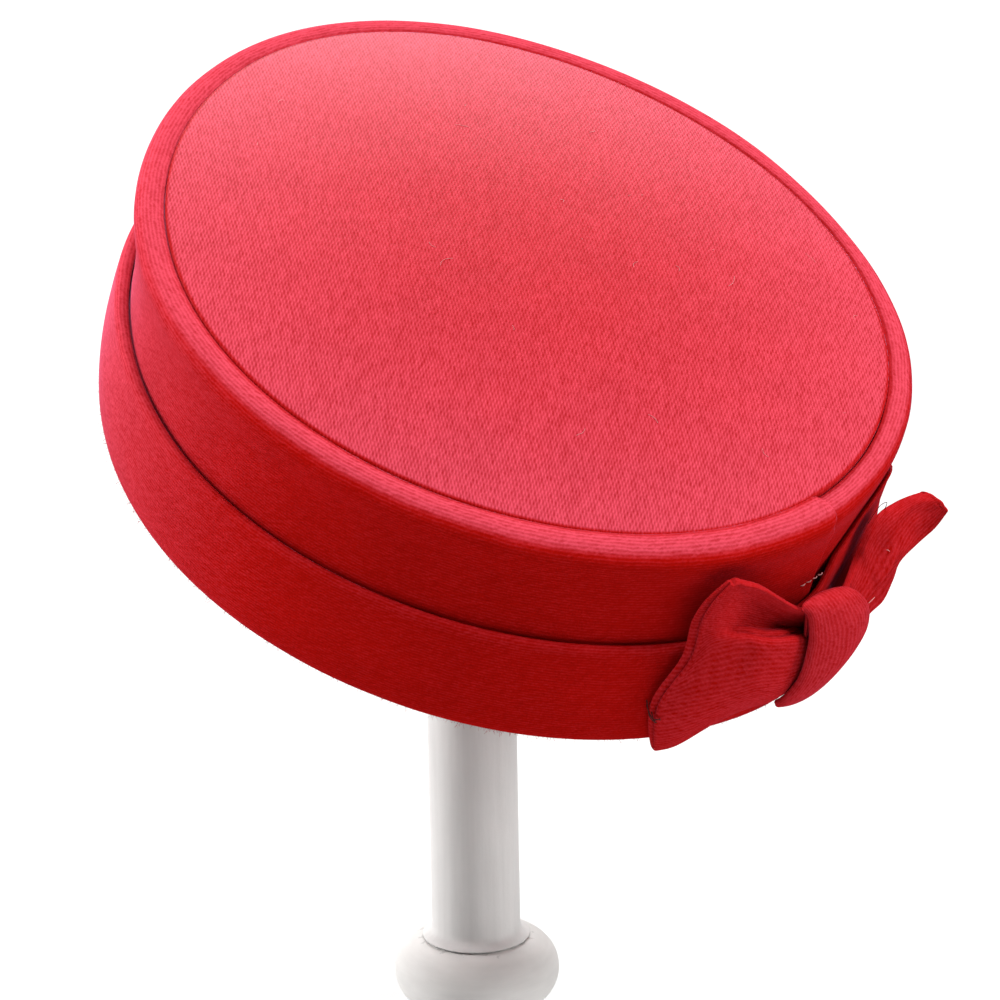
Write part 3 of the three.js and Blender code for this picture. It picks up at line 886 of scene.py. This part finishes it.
def make_cuff(crown):
    """The lower band, a strip folded along its top edge, drawn round the rim and raised beside the bow."""
    height = crown.hat.cuff_height / MM
    outline = []
    for out, share, room, drawn in CUFF_SECTION:
        outline.append((out, share * height / 100, room, drawn, share / 100))
    section = even_loop(outline, CUFF_ROWS)

    def place(along, across):
        out, _, room, drawn, share = section[round(across * CUFF_ROWS) % CUFF_ROWS]
        angle = 2 * math.pi * (along % 1.0) - math.pi
        lapped = angle < BAND_OVER_END
        step = lap_at(angle + 2 * math.pi if lapped else angle)
        past = min((angle - BAND_OVER_END) / CUFF_LAP_EASE, 1.0)
        lap = BAND_LAP_STEP * (step if lapped else lerp(1.0, step, past))
        fold = swell_at(angle, CUFF_FOLD) * hump(share - CUFF_FOLD_SHARE, CUFF_FOLD_WIDTH)
        tight = swell_at(angle, CUFF_TIGHT) + fold
        flare = swell_at(angle, CUFF_FLARE)
        middle = crown.point(angle, CUFF_OUT, 0)
        rim = CUFF_RIM_TILT[0] * middle.x + CUFF_RIM_TILT[1] * middle.y - CUFF_DROP
        top = crown.hat.cuff_height + CUFF_TOP_TILT[0] * middle.x + CUFF_TOP_TILT[1] * middle.y
        top += swell_at(angle, CUFF_PULL) + flare
        up = lerp(rim, top, share)
        wall = CUFF_EASE + CUFF_WALL * clamped(drawn / CUFF_WALL_FADE)
        least = band_face(up / MM) * MM + BAND_LAP_STEP * step + wall
        reach = max(out * MM + lap * room + (flare * share - tight) * drawn, least)
        here = crown.point(angle, reach, up)
        here += Vector((here.x, here.y, 0)).normalized() * uneven(here, 50.0, CUFF_UNEVEN) * drawn
        # Painted sheen on the top fold and the left side
        edge_sheen = CUFF_EDGE_SHEEN * max(0.0, 1 - (1 - share) / CUFF_EDGE_SHEEN_WIDTH)
        return here, max(edge_sheen, swell_at(angle, CUFF_LEFT_SHEEN))

    return shaped_cloth(CUFF_COLUMNS, CUFF_ROWS, place)


def net_point(net, run, share):
    """A point of the smooth surface through a net of rows."""
    across = share * (len(net[0]) - 1)
    column = [spline(row, across) for row in net]
    return spline(column, run * (len(net) - 1))


def make_wing(crown, net, side, thick, flap):
    """A wing of the bow: doubled cloth, pleated at the knot and sewn together along its end."""

    def place(along, across):
        front = across <= 0.5
        share = 0.5 - 0.5 * math.cos(2 * math.pi * across)
        run = min(along / WING_LIP_START, 1.0)
        arc, up, out = net_point(net, run, share)
        low = net_point(net, run, 0.0)
        high = net_point(net, run, 1.0)
        layer = lerp(thick[0], thick[1], share) / 2
        from_edge = min(share, 1 - share) * math.dist(low, high)
        turn = math.pi * (0.5 - max(0.0, along - WING_LIP_START) / (1 - WING_LIP_START))
        depth = layer / 2 * (1 + math.sin(turn)) * round_edge(from_edge, layer)
        lip = layer / 2 * math.cos(turn)
        if not front:
            depth = -depth
            lip += flap * math.sqrt(max(0.0, math.sin(math.pi * share))) * math.cos(turn)
        angle = crown.back_angle((arc + side * lip) * MM)
        return crown.point(angle, (out - layer + depth) * MM, up * MM), WING_PAINTED_SHEEN

    return shaped_cloth(WING_COLUMNS, WING_ROWS, place)


def make_knot(crown):
    """The knot's band, wound once round the wings."""
    path = even_loop(KNOT_PATH, KNOT_COLUMNS)

    def place(along, across):
        index = round(along * KNOT_COLUMNS) % KNOT_COLUMNS
        up, out, left, right, thick, rise = path[index]
        before = path[index - 1]
        after = path[(index + 1) % KNOT_COLUMNS]
        facing = Vector((after[1] - before[1], before[0] - after[0])).normalized()
        part = across * 2 if across <= 0.5 else 2 - across * 2
        share = -math.cos(math.pi * part)
        from_edge = (1 - abs(share)) * (right - left) / 2
        depth = thick / 2 * round_edge(from_edge, thick / 2)
        if across > 0.5:
            depth = -depth
        depth -= KNOT_CROWN * share * share
        up += rise * (1 - share) / 2
        angle = crown.back_angle(lerp(left, right, (share + 1) / 2) * MM)
        here = crown.point(angle, (out + facing.y * depth) * MM, (up + facing.x * depth) * MM)
        return here, KNOT_PAINTED_SHEEN

    return shaped_cloth(KNOT_COLUMNS, KNOT_ROWS, place)


def on_back(crown, paths):
    """Lines of (arc, up, out) beside the bow, as points."""
    lines = []
    for path in paths:
        line = []
        for arc, up, out in path:
            line.append(crown.point(crown.back_angle(arc * MM), out * MM, up * MM))
        lines.append(line)
    return lines


def lint_paths(crown):
    """Short curled fibres lying about on the tip."""
    chance = random.Random(LINT_SEED)
    paths = []
    for _ in range(LINT_COUNT):
        share = math.sqrt(chance.uniform(*LINT_AREA))
        spot = crown.rim(chance.uniform(0, 2 * math.pi)) * share
        heading = chance.uniform(0, 2 * math.pi)
        step = lerp(*LINT_LENGTH, chance.random() ** LINT_SHORTNESS) / (LINT_POINTS - 1)
        bend = chance.uniform(-LINT_TURN, LINT_TURN)
        path = []
        for i in range(LINT_POINTS):
            within = math.hypot(spot.x / crown.length, spot.y / crown.width)
            path.append(Vector((*spot, crown.tip_height(within) + LINT_RADIUS * (1 + i % 2 * 2))))
            spot = spot + Vector((math.cos(heading), math.sin(heading))) * step
            heading += bend + chance.uniform(-LINT_TURN, LINT_TURN) / 2
        paths.append(path)
    return paths


def fuzz_paths(crown):
    """Short fibres that stand out from the cuff's rim."""
    chance = random.Random(FUZZ_SEED)
    out, up = RIM_EDGE
    paths = []
    for _ in range(FUZZ_COUNT):
        angle = chance.uniform(-math.pi, math.pi)
        slope = -chance.uniform(0, math.pi / 2)
        length = lerp(*FUZZ_LENGTH, chance.random() ** FUZZ_SHORTNESS)
        path = []
        for reach in (-FUZZ_ROOT, length / 2, length):
            beyond = out * MM + reach * math.cos(slope)
            below = up * MM + reach * math.sin(slope)
            here = crown.point(angle, beyond, below)
            here.z += CUFF_RIM_TILT[0] * here.x + CUFF_RIM_TILT[1] * here.y - CUFF_DROP
            path.append(here)
            angle += chance.uniform(-FUZZ_SWAY, FUZZ_SWAY) * length / crown.width
            slope += chance.uniform(-FUZZ_BEND, FUZZ_BEND)
        paths.append(path)
    return paths


def make_threads(paths, radius, bend_steps, round_steps):
    """Round threads along lines of points."""
    curve = bpy.data.curves.new("threads", "CURVE")
    curve.dimensions = "3D"
    curve.bevel_depth = radius
    curve.bevel_resolution = round_steps
    curve.resolution_u = bend_steps
    curve.use_fill_caps = True
    for path in paths:
        line = curve.splines.new("NURBS")
        line.points.add(len(path) - 1)
        line.order_u = 3
        line.use_endpoint_u = True
        for point, place in zip(line.points, path):
            point.co = (*place, 1.0)
    holder = bpy.data.objects.new("threads", curve)
    mesh = bpy.data.meshes.new_from_object(holder)
    work = bmesh.new()
    work.from_mesh(mesh)
    bpy.data.objects.remove(holder)
    bpy.data.curves.remove(curve)
    bpy.data.meshes.remove(mesh)
    bmesh.ops.remove_doubles(work, verts=work.verts, dist=WELD)
    bmesh.ops.recalc_face_normals(work, faces=work.faces)
    return work


def in_metres(profile, base=0.0):
    """A profile of millimetres, as metres above a height."""
    return [(radius * MM, base + up * MM) for radius, up in profile]


def make_post():
    """The round post and its flared foot."""
    low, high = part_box("stand_post")
    top = [(POST_FOOT[-1][0] * MM, high.z), (0, high.z)]
    return turned(in_metres(POST_FOOT, low.z) + top, STAND_STEPS)


def make_collar():
    """The fat turned ring under the post."""
    low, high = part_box("stand_collar")
    middle = (low.z + high.z) / 2
    ring = (COLLAR_RADIUS - COLLAR_TUBE) * MM
    tube = COLLAR_TUBE * MM
    profile = [(0, low.z)]
    for i in range(COLLAR_BEND_STEPS + 1):
        turn = math.pi * (i / COLLAR_BEND_STEPS - 0.5)
        profile.append((ring + tube * math.cos(turn), middle + tube * math.sin(turn)))
    return turned(profile + [(0, high.z)], STAND_STEPS)


def make_head():
    """The domed head that the tip rests on."""
    low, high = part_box("stand_head")
    centre = high.z - HEAD_RADIUS
    widest = math.acos((low.z - centre) / HEAD_RADIUS)
    profile = [(0, low.z)]
    for i in range(HEAD_BEND_STEPS + 1):
        turn = widest * (1 - i / HEAD_BEND_STEPS)
        profile.append((HEAD_RADIUS * math.sin(turn), centre + HEAD_RADIUS * math.cos(turn)))
    return turned(profile, STAND_STEPS)


def make_base():
    """The round base and the short stem under the collar."""
    return turned(in_metres(BASE_PROFILE), STAND_STEPS)


class HAT_OT_add_tip(bpy.types.Operator):
    """Add the crown's domed tip"""

    bl_idname = "hat.add_tip"
    bl_label = "Tip"

    def execute(self, context):
        hat = context.scene.pillbox_hat
        crown = Crown(hat)
        work = make_tip(crown)
        work.transform(crown.place())
        cloth = jersey("tip_jersey", hat, TIP_CONTRAST, TIP_ROWS_SHOWN, TIP_GLOSS, TIP_FUZZ)
        piece = new_piece("tip_cloth", work, cloth, "jersey_tip", "crown_tip")
        return {"FINISHED"}


class HAT_OT_add_bands(bpy.types.Operator):
    """Add the side band and the lower band"""

    bl_idname = "hat.add_bands"
    bl_label = "Bands"

    def execute(self, context):
        hat = context.scene.pillbox_hat
        crown = Crown(hat)
        cloth = jersey("band_jersey", hat, BAND_CONTRAST, BAND_ROWS_SHOWN, BAND_GLOSS, BAND_FUZZ)
        for name, make, node in (
            ("side_band_cloth", make_side_band, "side_band"),
            ("lower_band_cloth", make_cuff, "lower_band"),
        ):
            work, flat = make(crown)
            work.transform(crown.place())
            piece = new_piece(name, work, cloth, "jersey_band", node)
        return {"FINISHED"}


class HAT_OT_add_bow(bpy.types.Operator):
    """Add the bow's two wings and its knot"""

    bl_idname = "hat.add_bow"
    bl_label = "Bow"

    def execute(self, context):
        hat = context.scene.pillbox_hat
        crown = Crown(hat)
        cloth = jersey("bow_jersey", hat, BOW_CONTRAST, BOW_ROWS_SHOWN, BOW_GLOSS, BOW_FUZZ)
        left = make_wing(crown, LEFT_WING, -1, LEFT_WING_THICK, LEFT_WING_FLAP)
        right = make_wing(crown, RIGHT_WING, 1, RIGHT_WING_THICK, RIGHT_WING_FLAP)
        for name, (work, flat), node in (
            ("left_wing_cloth", left, "bow_left_wing"),
            ("right_wing_cloth", right, "bow_right_wing"),
            ("knot_cloth", make_knot(crown), "bow_knot"),
        ):
            work.transform(crown.place())
            piece = new_piece(name, work, cloth, "jersey_bow", node)
        return {"FINISHED"}


class HAT_OT_add_threads(bpy.types.Operator):
    """Add the tacking stitches, the loose threads, the lint and the fuzz at the rim"""

    bl_idname = "hat.add_threads"
    bl_label = "Threads"

    def execute(self, context):
        hat = context.scene.pillbox_hat
        crown = Crown(hat)
        pale = plain_thread("pale_thread", hat.thread_pale)
        dark = plain_thread("dark_thread", hat.thread_dark)
        red = plain_thread("red_fibre", hat.jersey_red)
        stitches = []
        for i in range(TACK_STITCHES):
            stitches.append([(arc + TACK_STITCH_STEP * i, up, out) for arc, up, out in TACK_STITCH])
        for name, paths, radius, smoothness, thread in (
            ("tack_stitches", on_back(crown, stitches), TACK_RADIUS, THREAD_STEPS, pale),
            ("dark_tacks", on_back(crown, DARK_TACKS), TACK_RADIUS, THREAD_STEPS, dark),
            ("loose_loop", on_back(crown, LOOSE_LOOP), LOOSE_RADIUS, THREAD_STEPS, dark),
            ("thread_ends", on_back(crown, PALE_ENDS), LOOSE_RADIUS, THREAD_STEPS, pale),
            ("lint", lint_paths(crown), LINT_RADIUS, THREAD_STEPS, pale),
            ("edge_fuzz", fuzz_paths(crown), FUZZ_RADIUS, FUZZ_STEPS, red),
        ):
            work = make_threads(paths, radius, *smoothness)
            work.transform(crown.place())
            new_piece(name, work, thread, "jersey_bow")
        return {"FINISHED"}


class HAT_OT_add_stand(bpy.types.Operator):
    """Add the turned stand"""

    bl_idname = "hat.add_stand"
    bl_label = "Stand"

    def execute(self, context):
        hat = context.scene.pillbox_hat
        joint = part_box("stand_collar")[1].z
        white = painted_wood("stand_white", hat.paint_white, POST_WEAR, POST_GRAIN, joint)
        grey = painted_wood("collar_grey", hat.collar_grey, COLLAR_WEAR, COLLAR_GRAIN, joint)
        for name, work, paint, slot, node in (
            ("post_wood", make_post(), white, "stand_paint", "stand_post"),
            ("collar_wood", make_collar(), grey, "collar_paint", "stand_collar"),
            ("head_wood", make_head(), white, "stand_paint", "stand_head"),
            ("base_wood", make_base(), white, "stand_paint", "stand_base"),
        ):
            piece = new_piece(name, work, paint, slot, node)
            piece.data.set_sharp_from_angle(angle=SHARP_TURN)
        return {"FINISHED"}


class HAT_OT_add_stage(bpy.types.Operator):
    """Add the floor, the lights and the camera"""

    bl_idname = "hat.add_stage"
    bl_label = "Stage"

    def execute(self, context):
        scene = context.scene
        add_floor(scene.pillbox_hat)
        add_world(scene)
        add_lights()
        add_camera(scene)
        scene.view_settings.view_transform = "Standard"
        return {"FINISHED"}


def add_floor(hat):
    """A wide pale floor."""
    work = bmesh.new()
    bmesh.ops.create_circle(work, cap_ends=True, segments=FLOOR_SEGMENTS, radius=FLOOR_RADIUS)
    mesh = bpy.data.meshes.new("floor")
    work.to_mesh(mesh)
    work.free()
    material, tree, shader = make_material("floor_paint")
    place = tree.nodes.new("ShaderNodeTexCoord").outputs["Object"]
    shade = math_node(tree, "MULTIPLY_ADD", noise_node(tree, place, 8.0, 3.0), 0.02, 0.99)
    tree.links.new(scaled_colour(tree, hat.floor_white, shade), shader.inputs["Base Color"])
    shader.inputs["Roughness"].default_value = 0.9
    mesh.materials.append(material)
    floor = bpy.data.objects.new("floor", mesh)
    bpy.context.scene.collection.objects.link(floor)


def add_world(scene):
    """A little soft light from all round."""
    world = bpy.data.worlds.new("studio")
    world.use_nodes = True
    background = world.node_tree.nodes["Background"]
    background.inputs["Color"].default_value = (1.0, 1.0, 1.0, 1.0)
    background.inputs["Strength"].default_value = WORLD_STRENGTH
    scene.world = world


def add_lights():
    """Soft boxes over the hat and on both sides, a weak one in front, and one that whitens the floor."""
    for name, place, aim, size, power in LIGHTS:
        lamp = bpy.data.lights.new(name, "AREA")
        lamp.shape = "DISK"
        lamp.size = size
        lamp.energy = power
        light = bpy.data.objects.new(name, lamp)
        light.location = place
        light.rotation_euler = (Vector(aim) - Vector(place)).to_track_quat("-Z", "Y").to_euler()
        bpy.context.scene.collection.objects.link(light)


def add_camera(scene):
    """A long lens, a little above the hat."""
    lens = bpy.data.cameras.new("camera")
    lens.lens = CAMERA_LENS
    lens.sensor_width = CAMERA_SENSOR
    lens.clip_end = 50.0
    camera = bpy.data.objects.new("camera", lens)
    camera.matrix_world = (
        Matrix.Translation(CAMERA_PLACE)
        @ Matrix.Rotation(math.pi / 2 - CAMERA_PITCH, 4, "X")
        @ Matrix.Rotation(CAMERA_ROLL, 4, "Z")
    )
    scene.collection.objects.link(camera)
    scene.camera = camera


class HAT_PT_sidebar(bpy.types.Panel):
    """Buttons and sizes of the hat"""

    bl_idname = "HAT_PT_sidebar"
    bl_label = "Pillbox Hat"
    bl_space_type = "VIEW_3D"
    bl_region_type = "UI"
    bl_category = "Hat"

    def draw(self, context):
        hat = context.scene.pillbox_hat
        for name in PillboxHatSettings.__annotations__:
            self.layout.prop(hat, name)
        for operator in OPERATORS:
            self.layout.operator(operator.bl_idname)


OPERATORS = (
    HAT_OT_add_tip,
    HAT_OT_add_bands,
    HAT_OT_add_bow,
    HAT_OT_add_threads,
    HAT_OT_add_stand,
    HAT_OT_add_stage,
)
CLASSES = (PillboxHatSettings, *OPERATORS, HAT_PT_sidebar)


def register():
    for made in CLASSES:
        bpy.utils.register_class(made)
    bpy.types.Scene.pillbox_hat = bpy.props.PointerProperty(type=PillboxHatSettings)


def unregister():
    del bpy.types.Scene.pillbox_hat
    for made in reversed(CLASSES):
        bpy.utils.unregister_class(made)


def main():
    register()
    bpy.ops.hat.add_tip()
    bpy.ops.hat.add_bands()
    bpy.ops.hat.add_bow()
    bpy.ops.hat.add_threads()
    bpy.ops.hat.add_stand()
    bpy.ops.hat.add_stage()


if __name__ == "__main__":
    main()
